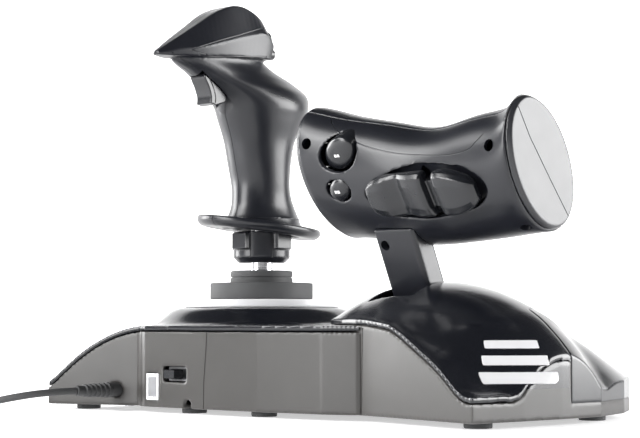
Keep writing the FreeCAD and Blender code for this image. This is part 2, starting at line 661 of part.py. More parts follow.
def make_shield(arm):
    """A curved plate that keeps the slot in the dome closed as the arm swings."""
    outer = dim("shield_radius")
    half = (dim("arm_width") + 5.0) / 2
    start = Vec(PIVOT.x - half, PIVOT.y, PIVOT.z)
    ring = Part.makeCylinder(outer, 2 * half, start, Vec(1, 0, 0))
    ring = ring.cut(Part.makeCylinder(outer - 1.6, 2 * half, start, Vec(1, 0, 0)))
    low = LEAN - math.radians(43.0)
    high = LEAN + math.radians(48.0)
    corners = [(PIVOT.y, PIVOT.z)]
    for i in range(5):
        corners.append(at_pivot(low + (high - low) * i / 4, 2 * outer))
    wedge = Part.Face(polygon([(start.x, y, z) for y, z in corners])).extrude(Vec(2 * half, 0, 0))
    return ring.common(wedge).cut(arm)


BIG_BUTTON = Vec(-47.3, 59.6, 139.0)
SMALL_BUTTON = Vec(-43.5, 55.0, 120.5)
BIG_OVAL = (12.0, 8.0)
SMALL_OVAL = (8.2, 6.0)
BUTTON_TURN = 35.0
BUTTON_ROOT = -9.0
RECESS_OVAL = (38.5, 14.0)
RECESS_DEPTH = 7.0
RECESS_WALL = 2.4
GRIP_SHELL = 2.6
FACE_UP = Vec(0, math.sin(FACE_LEAN), math.cos(FACE_LEAN))
ROCKER = Vec(-100.3, 32.2, 121.8) + FACE_NORMAL * 22.8 + FACE_UP * 7.0


def on_face(shape, origin):
    """Put a shape made about the local origin on the finger side, local Z outwards."""
    moved = shape.copy()
    moved.Placement = FreeCAD.Placement(origin, FACE_TURN)
    return moved


def oval_block(half_x, half_y, low, high, turn=0.0):
    curve = closed_curve([(half_x * math.cos(a), half_y * math.sin(a), low)
                          for a in [math.pi * i / 6 for i in range(12)]])
    block = Part.Face(curve).extrude(Vec(0, 0, high - low))
    block.rotate(Vec(), UP, turn)
    return block


THUMB_RADIUS = 4.5
THUMB_SPOTS = {
    "thumb_button_upper": (43.0, 152.0), "thumb_button_front": (40.0, 130.0),
    "thumb_button_back": (20.0, 134.0), "thumb_button_lower": (18.0, 114.0),
}


def make_throttle():
    arm = make_arm()
    node("throttle_arm", coded("throttle_arm", arm))
    node("slot_shield", coded("slot_shield", make_shield(arm)))
    outer = throttle_solid(0.0)
    room = Part.makeBox(dim("grip_right") - dim("grip_left"), 200, 200, Vec(dim("grip_left"), -80.0, 40.0))
    shell = outer.cut(throttle_solid(GRIP_SHELL).common(room)).cut(arm)
    recess = on_face(oval_block(*RECESS_OVAL, -RECESS_DEPTH, 30.0), ROCKER)
    cup = oval_block(*RECESS_OVAL, -RECESS_DEPTH - RECESS_WALL, -RECESS_DEPTH)
    recess_cup = on_face(cup, ROCKER).common(outer)
    shell = shell.cut(recess)
    for (half_long, half_short), place in ((BIG_OVAL, BIG_BUTTON), (SMALL_OVAL, SMALL_BUTTON)):
        hole = oval_block(half_long + BUTTON_GAP, half_short + BUTTON_GAP, -20.0, 30.0, BUTTON_TURN)
        shell = shell.cut(on_face(hole, place))
    middle = Vec(-86.5, 32.0, 124.0)
    front_half = Part.makeBox(400, 400, 200, Vec(-200, -200, 0))
    back_half = Part.makeBox(400, 400, 200, Vec(-200, -200, -200))
    for label, half in (("throttle_shell_front", front_half), ("throttle_shell_rear", back_half)):
        side = on_face(half, middle)
        piece = shell.common(side)
        body = max(piece.Solids, key=lambda solid: solid.Volume)
        if label == "throttle_shell_front":
            body = body.fuse(recess_cup.cut(on_face(oval_block(3.2, 12, -20, 0), ROCKER)))
            body = max(body.Solids, key=lambda solid: solid.Volume)
        node(label, coded(label, body))
    make_throttle_ends()
    make_throttle_controls()


def make_throttle_ends():
    first = THROTTLE_SECTIONS[0]
    last = THROTTLE_SECTIONS[-1]
    left = leaning_ellipse(*first, thin=0.6)
    outer_left = leaning_ellipse(dim("grip_left"), *first[1:], thin=2.4)
    node("end_cap", coded("end_cap", loft([outer_left, left])))
    right = leaning_ellipse(*last, thin=0.4)
    outer_right = leaning_ellipse(dim("grip_right"), *last[1:], thin=1.6)
    panel = loft([right, outer_right])
    for y, z in THUMB_SPOTS.values():
        mouth = Vec(dim("grip_right") - 12.0, y, z)
        panel = panel.cut(Part.makeCylinder(THUMB_RADIUS + BUTTON_GAP, 20.0, mouth, Vec(1, 0, 0)))
    node("thumb_panel", coded("thumb_panel", panel))
    for label, (y, z) in THUMB_SPOTS.items():
        start = Vec(dim("grip_right") - 6.8, y, z)
        button = Part.makeCylinder(THUMB_RADIUS, 9.0, start, Vec(1, 0, 0))
        node(label, coded(label, button))


def make_throttle_controls():
    button = on_face(oval_block(*BIG_OVAL, BUTTON_ROOT, 1.6, BUTTON_TURN), BIG_BUTTON)
    node("finger_button_large", coded("finger_button_large", button))
    button = on_face(oval_block(*SMALL_OVAL, BUTTON_ROOT, 1.4, BUTTON_TURN), SMALL_BUTTON)
    node("finger_button_small", coded("finger_button_small", button))
    base = Part.makeBox(60.0, 15.0, 4.0, Vec(-30.0, -7.5, -3.4))
    paddles = oval_block(37.2, 12.8, -2.0, 5.5)
    gap = Part.makeBox(5.0, 40.0, 10.0, Vec(-9.5, -20.0, 0.8))
    rocker = paddles.cut(gap).fuse(base)
    axle_hole = Part.makeCylinder(1.5 + dim("shaft_gap"), 40, Vec(0, -20, -1.4), Vec(0, 1, 0))
    node("rocker", coded("rocker", on_face(rocker.cut(axle_hole), ROCKER)))
    pin = Part.makeCylinder(1.5, 21, Vec(0, -10.5, -1.4), Vec(0, 1, 0))
    node("rocker_pin", coded("rocker_pin", on_face(pin, ROCKER)))


def make_throttle_base():
    """The shaft the arm turns on, its brackets and the sensor at its end."""
    plates = []
    for number, start in enumerate(("arm_x - arm_width / 2 - 5.5", "arm_x + arm_width / 2 + 1.5")):
        plate = box("bracket%d" % number, ("4", "24", "pivot_z + 8 - foot_height - floor_thickness"),
                    (start, "pivot_y - 12", "foot_height + floor_thickness"))
        hole = rod("bracket_hole%d" % number, "4", "4", (start, "pivot_y", "pivot_z"), "x")
        plates.append(cut("bracket_plate%d" % number, plate, hole))
    node("shaft_brackets", fuse("shaft_brackets", *plates))
    node("throttle_shaft", rod("throttle_shaft", "4", "arm_width + 11",
                               ("arm_x - arm_width / 2 - 5.5", "pivot_y", "pivot_z"), "x"))
    node("throttle_sensor", box("throttle_sensor", ("9", "18", "18"),
                                ("arm_x + arm_width / 2 + 5.5", "pivot_y - 9", "pivot_z - 9")))
    wheel = rod("tension_wheel", "18.2", "6", ("stick_x", "stick_y", "1.6"))
    grip_hole = rod("wheel_hole", "4", "10", ("stick_x", "stick_y", "0"))
    node("tension_wheel", cut("tension_wheel", wheel, grip_hole))
    node("selector_slider", box("selector_slider", ("8.6", "7", "4.8"), ("63.2", "68.6", "19.5")))


def make_screws():
    """Each set of like screws is one node of separate solids."""
    heads = []
    for x, y in STICK_SCREWS + THROTTLE_SCREWS:
        head = Part.makeCylinder(dim("screw_head"), 1.6, Vec(x, y, FLOOR - 1.6))
        shank = Part.makeCylinder(dim("screw_radius"), 9.0, Vec(x, y, FLOOR))
        heads.append(head.fuse(shank))
    node("base_screws", coded("base_screws", group(heads)))


# ---------------------------------------------------------------- cable
ROUTE = [
    (117.0, 101.0, 12.0), (122.0, 117.0, 11.6), (134.0, 131.0, 9.0), (152.0, 139.0, 5.0),
    (174.0, 143.0, 2.6), (198.0, 145.0, 2.0), (222.0, 149.8, 2.0),
]
COIL_CENTER = (216.0, 176.3)


def rounded_route(points):
    """Straight runs joined by tangent arcs, each as large as its two runs allow."""
    corners = [Vec(*point) for point in points]
    edges = []
    start = corners[0]
    radii = []
    for before, here, after in zip(corners, corners[1:], corners[2:]):
        back = (before - here)
        ahead = (after - here)
        shorter = min(back.Length, ahead.Length)
        turn = math.pi - back.getAngle(ahead)
        reach = 0.45 * shorter
        radii.append(reach / math.tan(turn / 2))
        first = here + back.normalize() * reach
        last = here + ahead.normalize() * reach
        middle_way = (back + ahead).normalize()
        center = here + middle_way * math.hypot(reach, radii[-1])
        middle = center - middle_way * radii[-1]
        edges.append(Part.LineSegment(start, first).toShape())
        edges.append(Part.Arc(first, middle, last).toShape())
        start = last
    edges.append(Part.LineSegment(start, corners[-1]).toShape())
    return Part.Wire(edges), radii


def make_cable():
    radius = dim("cord_diameter") / 2
    path, radii = rounded_route(ROUTE)
    start = Vec(*ROUTE[0])
    heading = Vec(*ROUTE[1]) - start
    section = Part.Wire([Part.makeCircle(radius, start, heading)])
    tube = path.makePipeShell([section], True, False)
    print("cable radii", [round(r, 1) for r in radii], "length", round(path.Length, 1),
          "volume ratio", round(tube.Volume / (path.Length * math.pi * radius ** 2), 4))
    node("usb_cable", coded("usb_cable", tube))
    coiled = dim("cord_length") - path.Length
    mean = dim("coil_diameter")
    turns = coiled / (math.pi * mean)
    rows = 3
    layers = math.ceil(turns / rows)
    print("coil turns", round(turns, 2), "rows", rows, "layers", layers)
    width = rows * 2 * radius
    height = layers * 2 * radius
    at = Vec(COIL_CENTER[0], COIL_CENTER[1], 0)
    ring = Part.makeCylinder(mean / 2 + width / 2, height, at)
    ring = ring.cut(Part.makeCylinder(mean / 2 - width / 2, height, at))
    node("cable_coil", coded("cable_coil", ring))
    corner = at + Vec(-29.0, -10.5, height)
    body = Part.makeBox(12.0, 22.0, 8.0, corner)
    shell = Part.makeBox(12.0, 14.0, 4.5, corner + Vec(0, -14.0, 1.8))
    tongue = Part.makeBox(10.8, 12.0, 2.0, corner + Vec(0.6, -15.0, 3.7))
    node("usb_plug", coded("usb_plug", body.fuse(shell.cut(tongue))))


def make_relief():
    """The ribbed rubber sleeve where the cable leaves the rear wall."""
    start = Vec(117.0, 68.0, dim("relief_height"))
    sleeve = Part.makeCone(4.0, 2.9, 33.0, start, Vec(0, 1, 0))
    ribs = [Part.makeTorus(3.7 - 0.18 * i, 0.8, start + Vec(0, 10.0 + 3.6 * i, 0), Vec(0, 1, 0))
            for i in range(6)]
    node("strain_relief", coded("strain_relief", joined([sleeve] + ribs)))


# ---------------------------------------------------------------- build and export
def check_document():
    DOC.recompute()
    for obj in DOC.Objects:
        if "Invalid" in obj.State or "Error" in obj.State:
            raise RuntimeError("%s failed: %s" % (obj.Name, obj.State))
    for label, obj in NODES.items():
        if obj.Shape.isNull() or not obj.Shape.isValid() or not obj.Shape.Solids:
            raise RuntimeError("%s has no valid shape" % label)


def export():
    os.makedirs("parts", exist_ok=True)
    for name in os.listdir("parts"):
        if name.endswith(".step") and name[:-5] not in NODES:
            os.remove(os.path.join("parts", name))
    for label, obj in NODES.items():
        obj.Shape.exportStep("parts/%s.step" % label)
    print(len(NODES), "sub-parts")


make_base()
make_base_fittings()
make_gimbal()
make_stick_lower()
make_handle()
make_hat()
make_throttle()
make_throttle_base()
make_screws()
make_relief()
make_cable()
check_document()
export()
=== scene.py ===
"""Flight joystick with an attached throttle: the looks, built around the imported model."""
import json
import math

import bmesh
import bpy
from mathutils import Matrix, Vector


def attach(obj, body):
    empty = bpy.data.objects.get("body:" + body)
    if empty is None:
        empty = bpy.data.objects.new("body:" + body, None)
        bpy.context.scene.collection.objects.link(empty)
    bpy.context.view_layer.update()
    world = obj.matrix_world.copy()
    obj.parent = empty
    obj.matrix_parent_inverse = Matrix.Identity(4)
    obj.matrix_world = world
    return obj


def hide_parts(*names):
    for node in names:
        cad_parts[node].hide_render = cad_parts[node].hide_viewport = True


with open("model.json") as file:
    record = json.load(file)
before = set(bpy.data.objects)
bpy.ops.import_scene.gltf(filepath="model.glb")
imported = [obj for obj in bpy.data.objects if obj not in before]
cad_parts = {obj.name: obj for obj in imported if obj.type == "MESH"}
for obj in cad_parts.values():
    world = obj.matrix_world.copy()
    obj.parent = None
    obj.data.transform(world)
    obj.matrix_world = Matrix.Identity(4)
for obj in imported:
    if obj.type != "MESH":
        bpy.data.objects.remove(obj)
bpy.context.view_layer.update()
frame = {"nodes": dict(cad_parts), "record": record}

MM = 0.001
NODES = frame["nodes"]
SCENE = bpy.context.scene


def mm(*values):
    """A point given in millimetres."""
    return Vector(values) * MM


# ---------------------------------------------------------------- camera
CAMERA_PLACE = mm(-660.5, 732.8, 50.0)
CAMERA_TURN = math.radians(43.0)
CAMERA_RISE = math.radians(3.417)
LENS = 98.44


def make_camera():
    """The camera: a long lens from behind and from the user's left, looking slightly up."""
    data = bpy.data.cameras.new("camera")
    data.lens = LENS
    data.sensor_width = 36.0
    data.clip_start = 0.01
    camera = bpy.data.objects.new("camera", data)
    SCENE.collection.objects.link(camera)
    level = math.cos(CAMERA_RISE)
    forward = Vector((math.sin(CAMERA_TURN) * level, -math.cos(CAMERA_TURN) * level,
                      math.sin(CAMERA_RISE)))
    camera.location = CAMERA_PLACE
    camera.rotation_euler = forward.to_track_quat("-Z", "Y").to_euler()
    SCENE.camera = camera


# ---------------------------------------------------------------- cable
# the stages of the coil: turns so far, radius and height
ROUTE = [
    (117.0, 101.0, 12.0), (122.0, 117.0, 11.6), (134.0, 131.0, 9.0), (152.0, 139.0, 5.0),
    (174.0, 143.0, 2.6), (198.0, 145.0, 2.0), (222.0, 149.8, 2.0),
]
CABLE_RADIUS = 2.0
COIL_CENTER = (216.0, 176.3)
TURN_POINTS = 12
COIL_START = -76.0
COIL_STAGES = [
    (0.0, 27.0, 2.2), (0.6, 19.0, 2.6), (4.3, 19.0, 14.0), (4.7, 23.0, 14.0), (8.0, 23.0, 4.6),
    (8.4, 27.0, 4.4), (11.35, 27.0, 14.0), (11.6, 27.0, 19.6),
]
CORD_TAIL = [(192.8, 190.8, 20.0), (193.0, 187.8, 20.0)]


def coil_points():
    """The turns: up the inner row, down the middle one, up the outer one and off its side."""
    points = []
    steps = int(COIL_STAGES[-1][0] * TURN_POINTS)
    for step in range(1, steps + 1):
        turns = step / TURN_POINTS
        index = max(i for i, stage in enumerate(COIL_STAGES[:-1]) if stage[0] <= turns)
        low, high = COIL_STAGES[index], COIL_STAGES[index + 1]
        part = (turns - low[0]) / (high[0] - low[0])
        radius = low[1] + part * (high[1] - low[1])
        height = low[2] + part * (high[2] - low[2])
        angle = math.radians(COIL_START) + 2 * math.pi * turns
        points.append((COIL_CENTER[0] + radius * math.cos(angle),
                       COIL_CENTER[1] + radius * math.sin(angle), height))
    return points


def make_cable():
    """One round cable from the strain relief along the floor to the coil and the plug."""
    data = bpy.data.curves.new("cable", "CURVE")
    data.dimensions = "3D"
    data.bevel_depth = CABLE_RADIUS * MM
    data.bevel_resolution = 5
    data.resolution_u = 8
    data.use_fill_caps = True
    points = ROUTE + coil_points() + CORD_TAIL
    spline = data.splines.new("NURBS")
    spline.points.add(len(points) - 1)
    for target, point in zip(spline.points, points):
        target.co = (*(mm(*point)), 1.0)
    spline.order_u = 3
    spline.use_endpoint_u = True
    cable = bpy.data.objects.new("cable", data)
    SCENE.collection.objects.link(cable)
    data.materials.append(MATERIALS["boot_rubber"])
    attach(cable, "base")
    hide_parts("usb_cable", "cable_coil")


# ---------------------------------------------------------------- materials
def shader(name):
    """A new material with its node tree's nodes, links and main shader."""
    material = bpy.data.materials.new(name)
    material.use_nodes = True
    tree = material.node_tree
    return material, tree.nodes, tree.links, tree.nodes["Principled BSDF"]


def noise(nodes, links, scale, detail=3.0, rough=0.6):
    """Noise that keeps to the object as it moves."""
    place = nodes.new("ShaderNodeTexCoord")
    texture = nodes.new("ShaderNodeTexNoise")
    texture.inputs["Scale"].default_value = scale
    texture.inputs["Detail"].default_value = detail
    texture.inputs["Roughness"].default_value = rough
    links.new(place.outputs["Object"], texture.inputs["Vector"])
    return texture.outputs["Fac"]


def ramp(nodes, links, source, low, high):
    """The source's range of 0 to 1 turned into low to high."""
    node = nodes.new("ShaderNodeMapRange")
    node.inputs["To Min"].default_value = low
    node.inputs["To Max"].default_value = high
    links.new(source, node.inputs["Value"])
    return node.outputs["Result"]


def tint(nodes, links, source, dark, light):
    """A colour between two, as the source says."""
    node = nodes.new("ShaderNodeMix")
    node.data_type = "RGBA"
    node.inputs["A"].default_value = (*dark, 1.0)
    node.inputs["B"].default_value = (*light, 1.0)
    links.new(source, node.inputs["Factor"])
    return node.outputs["Result"]


def moulded(name, dark, light, rough, grain=0.05, coat=0.0, spread=0.07, grain_scale=2600.0):
    """Moulded plastic: slow colour and gloss variation and a fine grain."""
    material, nodes, links, bsdf = shader(name)
    slow = noise(nodes, links, 38.0, 4.0)
    links.new(tint(nodes, links, slow, dark, light), bsdf.inputs["Base Color"])
    fine = noise(nodes, links, grain_scale, 2.0)
    patch = noise(nodes, links, 90.0, 5.0, 0.7)
    links.new(ramp(nodes, links, patch, rough - spread, rough + spread), bsdf.inputs["Roughness"])
    bump = nodes.new("ShaderNodeBump")
    bump.inputs["Strength"].default_value = grain
    bump.inputs["Distance"].default_value = 0.00008
    links.new(fine, bump.inputs["Height"])
    links.new(bump.outputs["Normal"], bsdf.inputs["Normal"])
    bsdf.inputs["Coat Weight"].default_value = coat
    bsdf.inputs["Coat Roughness"].default_value = 0.25
    return material


def metal(name, color, rough):
    """Turned metal: fine lines around the axis in the colour and the gloss."""
    material, nodes, links, bsdf = shader(name)
    place = nodes.new("ShaderNodeTexCoord")
    stretch = nodes.new("ShaderNodeMapping")
    stretch.inputs["Scale"].default_value = (40.0, 40.0, 2400.0)
    texture = nodes.new("ShaderNodeTexNoise")
    texture.inputs["Scale"].default_value = 1.0
    texture.inputs["Detail"].default_value = 3.0
    links.new(place.outputs["Object"], stretch.inputs["Vector"])
    links.new(stretch.outputs["Vector"], texture.inputs["Vector"])
    line = texture.outputs["Fac"]
    dark = [value * 0.86 for value in color]
    links.new(tint(nodes, links, line, dark, color), bsdf.inputs["Base Color"])
    links.new(ramp(nodes, links, line, rough - 0.06, rough + 0.1), bsdf.inputs["Roughness"])
    bsdf.inputs["Metallic"].default_value = 1.0
    return material


MATERIALS = {}


def make_materials():
    make = MATERIALS
    make["shell"] = moulded("charcoal_shell", (0.009, 0.010, 0.014), (0.015, 0.016, 0.021), 0.30,
                            0.16, 0.15, 0.05)
    make["wall"] = moulded("warm_wall", (0.042, 0.040, 0.038), (0.058, 0.055, 0.052), 0.36,
                           0.14, 0.1)
    make["cover"] = moulded("black_cover", (0.006, 0.007, 0.010), (0.010, 0.011, 0.015), 0.20,
                            0.05, 0.3, 0.04)
    make["button"] = moulded("dark_button", (0.008, 0.009, 0.012), (0.014, 0.015, 0.018), 0.26,
                             0.08, 0.3, 0.04)
    make["boot_rubber"] = moulded("grey_rubber", (0.050, 0.051, 0.053), (0.075, 0.076, 0.078),
                                  0.66, 0.5, 0.0, 0.08, 1500.0)
    make["bright_plastic"] = moulded("silver_paint", (0.80, 0.80, 0.82), (0.90, 0.90, 0.91), 0.34,
                                     0.05, 0.3)
    make["grey_part"] = moulded("grey_part", (0.20, 0.20, 0.21), (0.27, 0.27, 0.28), 0.5)
    make["board"] = moulded("board_green", (0.02, 0.10, 0.05), (0.03, 0.15, 0.07), 0.4)
    # the end cap is the same black plastic as the shell; its colour is painted about twice as
    # light, a painted highlight for the glare the lamps put on it
    make["end_plastic"] = moulded("end_plastic", (0.020, 0.021, 0.025), (0.030, 0.031, 0.035),
                                  0.34, 0.12, 0.3)
    make["mark_white"] = moulded("mark_white", (0.78, 0.78, 0.78), (0.88, 0.88, 0.88), 0.45)
    make["steel"] = metal("turned_steel", (0.80, 0.80, 0.82), 0.24)


def finish_cad_nodes():
    """Give every CAD node the better material of its slot."""
    for entry in frame["record"]["subparts"]:
        mesh = NODES[entry["node"]].data
        mesh.materials.clear()
        mesh.materials.append(MATERIALS[entry["material_slot"]])


# ---------------------------------------------------------------- studio
def make_floor():
    """A wide white floor."""
    mesh = bpy.data.meshes.new("floor")
    reach = 6.0
    mesh.from_pydata([(-reach, -reach, 0), (reach, -reach, 0), (reach, reach, 0),
                      (-reach, reach, 0)], [], [(0, 1, 2, 3)])
    floor = bpy.data.objects.new("floor", mesh)
    SCENE.collection.objects.link(floor)
    mesh.materials.append(glowing("pale_floor", (0.93, 0.93, 0.935), 0.55))


def area_light(name, place, target, width, height, power):
    """A white rectangular light aimed at a point."""
    data = bpy.data.lights.new(name, "AREA")
    data.shape = "RECTANGLE"
    data.size = width
    data.size_y = height
    data.energy = power
    light = bpy.data.objects.new(name, data)
    SCENE.collection.objects.link(light)
    light.location = place
    aim = Vector(target) - Vector(place)
    light.rotation_euler = aim.to_track_quat("-Z", "Y").to_euler()


def glowing(name, color, strength):
    """A matt surface that also gives light, for the floor and the wall of the studio."""
    material = shader(name)[0]
    bsdf = material.node_tree.nodes["Principled BSDF"]
    bsdf.inputs["Base Color"].default_value = (*color, 1.0)
    bsdf.inputs["Roughness"].default_value = 0.7
    bsdf.inputs["Emission Color"].default_value = (*color, 1.0)
    bsdf.inputs["Emission Strength"].default_value = strength
    return material


def make_backdrop():
    """A white wall well behind the object, as seen by the camera."""
    far = 3.2
    wide = 3.4
    tall = 3.0
    level = Vector((math.sin(CAMERA_TURN), -math.cos(CAMERA_TURN), 0))
    side = Vector((math.cos(CAMERA_TURN), math.sin(CAMERA_TURN), 0))
    middle = CAMERA_PLACE + level * (far + 1.0)
    middle.z = -0.3
    corners = [middle - side * wide, middle + side * wide,
               middle + side * wide + Vector((0, 0, tall)),
               middle - side * wide + Vector((0, 0, tall))]
    mesh = bpy.data.meshes.new("backdrop")
    mesh.from_pydata([tuple(c) for c in corners], [], [(0, 1, 2, 3)])
    wall = bpy.data.objects.new("backdrop", mesh)
    SCENE.collection.objects.link(wall)
    mesh.materials.append(glowing("white_wall", (1, 1, 1), 1.1))


def make_studio():
    """A nearly black surround with four large lights, so that the dark plastic keeps its depth."""
    world = bpy.data.worlds.new("studio")
    world.use_nodes = True
    back = world.node_tree.nodes["Background"]
    back.inputs["Color"].default_value = (1.0, 1.0, 1.0, 1.0)
    back.inputs["Strength"].default_value = 0.05
    SCENE.world = world
    SCENE.view_settings.view_transform = "Standard"
    make_backdrop()
    middle = (0.0, 0.0, 0.12)
    area_light("right_behind", (-1.35, -1.25, 0.5), middle, 1.4, 1.3, 57.0)
    area_light("near_left", (0.42, 1.55, 0.42), middle, 0.75, 1.1, 23.0)
    area_light("upper_left", (0.66, 1.15, 0.98), middle, 0.9, 0.6, 13.0)
    area_light("far_left", (1.55, 0.45, 0.38), middle, 0.65, 1.1, 23.0)


def link_mesh(name, mesh):
    """An object for a mesh, in the scene."""
    piece = bpy.data.objects.new(name, mesh)
    SCENE.collection.objects.link(piece)
    return piece


# ---------------------------------------------------------------- mesh helpers
def shade(mesh, sharp_over=38.0):
    """Smooth faces, with edges sharper than the angle kept crisp."""
    work = bmesh.new()
    work.from_mesh(mesh)
    limit = math.radians(sharp_over)
    for face in work.faces:
        face.smooth = True
    for edge in work.edges:
        if len(edge.link_faces) == 2 and edge.calc_face_angle(0.0) > limit:
            edge.smooth = False
    work.to_mesh(mesh)
    work.free()


def baked(piece):
    """Replace a piece's mesh by what its modifiers make of it."""
    bpy.context.view_layer.update()
    graph = bpy.context.evaluated_depsgraph_get()
    mesh = bpy.data.meshes.new_from_object(piece.evaluated_get(graph))
    piece.modifiers.clear()
    piece.data = mesh
    return piece


def boolean(piece, tool, operation="DIFFERENCE"):
    """Change a piece by a tool that is then thrown away."""
    change = piece.modifiers.new("change", "BOOLEAN")
    change.object = tool
    change.operation = operation
    change.solver = "EXACT"
    baked(piece)
    bpy.data.objects.remove(tool)
    return piece


SMOOTH_FACTOR = 0.5


def softened(piece, voxel, rounds):
    """Merge overlapping closed forms and round every edge a little."""
    remesh = piece.modifiers.new("remesh", "REMESH")
    remesh.mode = "VOXEL"
    remesh.voxel_size = voxel * MM
    smooth = piece.modifiers.new("smooth", "SMOOTH")
    smooth.iterations = rounds
    smooth.factor = SMOOTH_FACTOR
    return baked(piece)


def dressed(piece, material, body, *nodes, sharp_over=38.0):
    """Shade a piece, give it its material and let it ride for the CAD nodes it stands for."""
    piece.data.materials.clear()
    piece.data.materials.append(MATERIALS[material])
    shade(piece.data, sharp_over)
    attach(piece, body)
    if nodes:
        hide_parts(*nodes)
    return piece


def curve_value(rows, position):
    """A Catmull-Rom curve through rows of numbers, at a position counted in rows."""
    index = min(int(position), len(rows) - 2)
    t = position - index
    first = rows[max(index - 1, 0)]
    last = rows[min(index + 2, len(rows) - 1)]
    result = []
    for a, b, c, d in zip(first, rows[index], rows[index + 1], last):
        result.append(0.5 * (2 * b + (c - a) * t + (2 * a - 5 * b + 4 * c - d) * t * t
                             + (3 * b - a - 3 * c + d) * t ** 3))
    return result


def dense_rows(rows, steps):
    """The rows with smooth ones between them."""
    count = (len(rows) - 1) * steps
    return [curve_value(rows, i / steps) for i in range(count + 1)]


def ring_mesh(name, rings):
    """A closed solid through rings of points given in millimetres."""
    work = bmesh.new()
    levels = [[work.verts.new(Vector(point) * MM) for point in ring] for ring in rings]
    count = len(rings[0])
    for low, high in zip(levels, levels[1:]):
        for i in range(count):
            j = (i + 1) % count
            work.faces.new((low[i], low[j], high[j], high[i]))
    work.faces.new(list(reversed(levels[0])))
    work.faces.new(levels[-1])
    bmesh.ops.recalc_face_normals(work, faces=work.faces)
    mesh = bpy.data.meshes.new(name)
    work.to_mesh(mesh)
    work.free()
    return link_mesh(name, mesh)


def joined(name, pieces):
    """One object holding several closed forms, ready to be merged by a remesh."""
    work = bmesh.new()
    for piece in pieces:
        copy = piece.data.copy()
        copy.transform(piece.matrix_world)
        work.from_mesh(copy)
        bpy.data.objects.remove(piece)
    mesh = bpy.data.meshes.new(name)
    work.to_mesh(mesh)
    work.free()
    return link_mesh(name, mesh)


def block(name, low, high):
    """A box between two corners in millimetres."""
    xs, ys, zs = zip(low, high)
    rings = [[(xs[0], ys[0], z), (xs[1], ys[0], z), (xs[1], ys[1], z), (xs[0], ys[1], z)]
             for z in zs]
    return ring_mesh(name, rings)


def circle(center, radius, z, count):
    """Points of a level circle."""
    turns = [2 * math.pi * i / count for i in range(count)]
    return [(center[0] + radius * math.cos(a), center[1] + radius * math.sin(a), z) for a in turns]


def turned(name, center, profile, count=96):
    """A solid of revolution about a vertical axis: (radius, height) pairs, closed."""
    work = bmesh.new()
    levels = []
    for radius, height in profile:
        if radius < 1e-6:
            levels.append([work.verts.new(mm(center[0], center[1], height))])
        else:
            levels.append([work.verts.new(Vector(p) * MM)
                           for p in circle(center, radius, height, count)])
    pairs = list(zip(levels, levels[1:] + levels[:1]))
    for low, high in pairs:
        for i in range(count):
            j = (i + 1) % count
            if len(low) == 1 and len(high) == 1:
                break
            if len(low) == 1:
                work.faces.new((low[0], high[j], high[i]))
            elif len(high) == 1:
                work.faces.new((low[i], low[j], high[0]))
            else:
                work.faces.new((low[i], low[j], high[j], high[i]))
    bmesh.ops.recalc_face_normals(work, faces=work.faces)
    mesh = bpy.data.meshes.new(name)
    work.to_mesh(mesh)
    work.free()
    return link_mesh(name, mesh)


def rounded_profile(corners, radius, steps=5):
    """A closed profile with every corner eased by a small arc-like curve."""
    points = []
    count = len(corners)
    for i, here in enumerate(corners):
        before = Vector(corners[i - 1])
        after = Vector(corners[(i + 1) % count])
        corner = Vector(here)
        back = before - corner
        ahead = after - corner
        reach = min(radius, 0.45 * back.length, 0.45 * ahead.length)
        start = corner + back.normalized() * reach
        end = corner + ahead.normalized() * reach
        for k in range(steps + 1):
            t = k / steps
            point = start * (1 - t) ** 2 + corner * 2 * t * (1 - t) + end * t * t
            points.append(tuple(point))
    return points


# ---------------------------------------------------------------- CAD copies and fine work
def cad_copy(label, *nodes):
    """A new object that holds copies of the named CAD meshes."""
    work = bmesh.new()
    for node in nodes:
        work.from_mesh(NODES[node].data)
    bmesh.ops.remove_doubles(work, verts=work.verts, dist=0.002 * MM)
    mesh = bpy.data.meshes.new(label)
    work.to_mesh(mesh)
    work.free()
    return link_mesh(label, mesh)


def eased(node, voxel, rounds):
    """A copy of a CAD piece with every edge rounded as a moulding is."""
    return softened(cad_copy(node + "_skin", node), voxel, rounds)


def tube_form(label, points, radius, sides=8):
    """A closed round tube along points given in metres."""
    rings = []
    count = len(points)
    for i, point in enumerate(points):
        ahead = points[min(i + 1, count - 1)] - points[max(i - 1, 0)]
        ahead.normalize()
        side = ahead.cross(Vector((0.31, 0.17, 0.93))).normalized()
        up = side.cross(ahead)
        rings.append([(point + (side * math.cos(a) + up * math.sin(a)) * radius * MM) / MM
                      for a in [2 * math.pi * k / sides for k in range(sides)]])
    return ring_mesh(label, rings)


PATH_STEP = 1.2
PATH_GAP = 0.4


def on_surface(piece, points):
    """A path through the points, laid on the piece's surface, in metres."""
    path = []
    corners = [mm(*point) for point in points]
    for start, end in zip(corners, corners[1:]):
        parts = max(1, round((end - start).length / (PATH_STEP * MM)))
        path.extend(start.lerp(end, k / parts) for k in range(parts))
    path.append(corners[-1])
    found = []
    for point in path:
        hit, spot = piece.closest_point_on_mesh(point)[:2]
        if hit and (not found or (spot - found[-1]).length > PATH_GAP * MM):
            found.append(spot.copy())
    return found


def curved(points, steps=6):
    """More points on a smooth curve through the given ones."""
    return dense_rows(points, steps)


def groove(piece, points, radius=0.35):
    """Cut a fine round-bottomed line into a surface, unless the cut would spoil the piece."""
    before = piece.data.copy()
    boolean(piece, tube_form("groove", on_surface(piece, points), radius))
    if len(piece.data.vertices) < 0.8 * len(before.vertices):
        print("groove left out on", piece.name)
        piece.data = before


def along(origin, direction, label, radius, depth, back=6.0, count=40):
    """A round cutter into a surface, given its mouth and the way in."""
    way = Vector(direction).normalized()
    start = mm(*origin) - way * back * MM
    end = mm(*origin) + way * depth * MM
    return tube_form(label, [start, end], radius, count)


